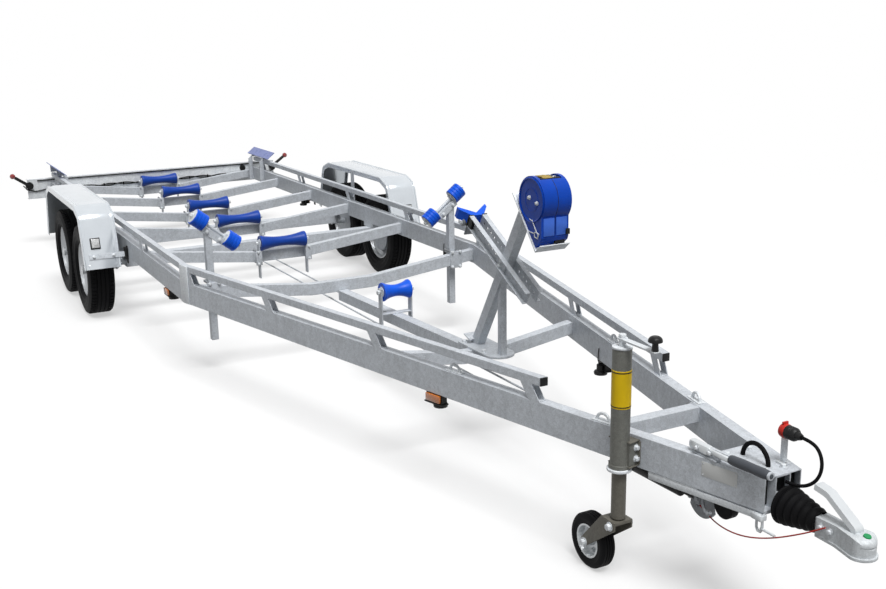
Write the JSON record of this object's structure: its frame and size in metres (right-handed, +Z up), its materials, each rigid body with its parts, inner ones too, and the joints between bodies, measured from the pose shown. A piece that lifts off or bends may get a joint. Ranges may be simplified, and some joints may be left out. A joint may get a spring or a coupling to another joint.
{
  "type": "boat trailer",
  "caption": "Tandem-axle boat trailer with keel rollers, side rollers, winch stand, jockey wheel and overrun coupling.",
  "frame": {"origin": "on the ground under the middle of the length and width", "axes": "+X forwards to the coupling, +Y to the left, +Z up"},
  "size_m": [8.703, 2.659, 1.385],
  "materials": {
    "galvanised_steel": "hot-dip galvanised steel",
    "blue_roller": "moulded blue polyurethane",
    "tyre": "black tyre rubber",
    "black_plastic": "black moulded plastic",
    "red_lens": "red lamp lens",
    "amber_lens": "amber lamp lens",
    "black_rubber": "black rubber",
    "red_cable": "red plastic-coated wire",
    "silver_paint": "silver painted steel",
    "rim_steel": "silver painted wheel steel",
    "blue_shell": "glossy blue moulded winch housing"
  },
  "bodies": {
    "chassis": {"axles": "galvanised_steel", "bellows": "black_rubber", "bow_stop": "blue_roller", "brake_gear": "galvanised_steel", "brake_rods": "galvanised_steel", "breakaway_cable": "red_cable", "coupling_handle": "silver_paint", "coupling_head": "galvanised_steel", "crank_knob": "black_plastic", "cross_members": "galvanised_steel", "draw_bar_ties": "galvanised_steel", "guide_gussets": "galvanised_steel", "guide_plates": "galvanised_steel", "handbrake_lever": "galvanised_steel", "jockey_crank": "galvanised_steel", "jockey_tube": "galvanised_steel", "keel_beam": "galvanised_steel", "lamp_housings": "black_plastic", "lamp_lenses": "red_lens", "lashing_eyes": "galvanised_steel", "light_bar": "galvanised_steel", "main_beam_left": "galvanised_steel", "main_beam_right": "galvanised_steel", "marker_lenses": "amber_lens", "mudguard_left": "galvanised_steel", "mudguard_right": "galvanised_steel", "mudguard_stays": "galvanised_steel", "overrun_housing": "galvanised_steel", "plug": "black_plastic", "plug_cable": "black_rubber", "roller_yokes": "galvanised_steel", "side_posts": "galvanised_steel", "side_rail_left": "galvanised_steel", "side_rail_right": "galvanised_steel", "slide_arms": "galvanised_steel", "winch_housing": "blue_shell", "winch_stand": "galvanised_steel", "wiring": "black_rubber"},
    "wheel_front_right": {"tyre_front_right": "tyre", "rim_front_right": "rim_steel"},
    "wheel_front_left": {"tyre_front_left": "tyre", "rim_front_left": "rim_steel"},
    "wheel_rear_right": {"tyre_rear_right": "tyre", "rim_rear_right": "rim_steel"},
    "wheel_rear_left": {"tyre_rear_left": "tyre", "rim_rear_left": "rim_steel"},
    "keel_roller_1": {"keel_roller_1": "blue_roller"},
    "keel_roller_2": {"keel_roller_2": "blue_roller"},
    "keel_roller_3": {"keel_roller_3": "blue_roller"},
    "keel_roller_4": {"keel_roller_4": "blue_roller"},
    "keel_roller_5": {"keel_roller_5": "blue_roller"},
    "bow_roller": {"bow_roller": "blue_roller"},
    "side_roller_upper_right": {"side_roller_upper_right": "blue_roller"},
    "side_roller_upper_left": {"side_roller_upper_left": "blue_roller"},
    "side_roller_lower_right": {"side_roller_lower_right": "blue_roller"},
    "side_roller_lower_left": {"side_roller_lower_left": "blue_roller"},
    "jockey_stem": {"jockey_stem": "galvanised_steel"},
    "jockey_fork": {"jockey_fork": "galvanised_steel"},
    "jockey_wheel": {"jockey_tyre": "tyre", "jockey_rim": "rim_steel"}
  },
  "joints": [
    {"name": "wheel_front_right_spin", "type": "hinge", "parent": "chassis", "child": "wheel_front_right", "pos_m": [-1.5185, -1.15, 0.318], "axis": [0, 1, 0], "continuous": true},
    {"name": "wheel_front_left_spin", "type": "hinge", "parent": "chassis", "child": "wheel_front_left", "pos_m": [-1.5185, 1.15, 0.318], "axis": [0, 1, 0], "continuous": true},
    {"name": "wheel_rear_right_spin", "type": "hinge", "parent": "chassis", "child": "wheel_rear_right", "pos_m": [-2.2485, -1.15, 0.318], "axis": [0, 1, 0], "continuous": true},
    {"name": "wheel_rear_left_spin", "type": "hinge", "parent": "chassis", "child": "wheel_rear_left", "pos_m": [-2.2485, 1.15, 0.318], "axis": [0, 1, 0], "continuous": true},
    {"name": "keel_roller_1_spin", "type": "hinge", "parent": "chassis", "child": "keel_roller_1", "pos_m": [-0.7541, 0, 0.523], "axis": [0, 1, 0], "continuous": true},
    {"name": "keel_roller_2_spin", "type": "hinge", "parent": "chassis", "child": "keel_roller_2", "pos_m": [-1.7369, 0, 0.523], "axis": [0, 1, 0], "continuous": true},
    {"name": "keel_roller_3_spin", "type": "hinge", "parent": "chassis", "child": "keel_roller_3", "pos_m": [-2.5377, 0, 0.523], "axis": [0, 1, 0], "continuous": true},
    {"name": "keel_roller_4_spin", "type": "hinge", "parent": "chassis", "child": "keel_roller_4", "pos_m": [-3.3931, 0, 0.523], "axis": [0, 1, 0], "continuous": true},
    {"name": "keel_roller_5_spin", "type": "hinge", "parent": "chassis", "child": "keel_roller_5", "pos_m": [-4.1665, 0, 0.523], "axis": [0, 1, 0], "continuous": true},
    {"name": "bow_roller_spin", "type": "hinge", "parent": "chassis", "child": "bow_roller", "pos_m": [1.05201, 0, 0.56], "axis": [0, 1, 0], "continuous": true},
    {"name": "side_roller_lower_right_spin", "type": "hinge", "parent": "chassis", "child": "side_roller_lower_right", "pos_m": [0.2237, -0.66134, 0.7709], "axis": [0, -0.7902, 0.6129], "continuous": true},
    {"name": "side_roller_upper_right_spin", "type": "hinge", "parent": "chassis", "child": "side_roller_upper_right", "pos_m": [0.2237, -0.84466, 0.9131], "axis": [0, -0.7902, 0.6129], "continuous": true},
    {"name": "side_roller_lower_left_spin", "type": "hinge", "parent": "chassis", "child": "side_roller_lower_left", "pos_m": [0.2237, 0.66134, 0.7709], "axis": [0, 0.7902, 0.6129], "continuous": true},
    {"name": "side_roller_upper_left_spin", "type": "hinge", "parent": "chassis", "child": "side_roller_upper_left", "pos_m": [0.2237, 0.84466, 0.9131], "axis": [0, 0.7902, 0.6129], "continuous": true},
    {"name": "jockey_height", "type": "slide", "parent": "chassis", "child": "jockey_stem", "axis": [0, 0, 1], "range_m": [-0.15, 0.13]},
    {"name": "jockey_caster", "type": "hinge", "parent": "jockey_stem", "child": "jockey_fork", "pos_m": [3.4415, -0.26197, 0.262], "axis": [0, 0, 1], "continuous": true},
    {"name": "jockey_wheel_spin", "type": "hinge", "parent": "jockey_fork", "child": "jockey_wheel", "pos_m": [3.2915, -0.26197, 0.1075], "axis": [0, 1, 0], "continuous": true}
  ]
}
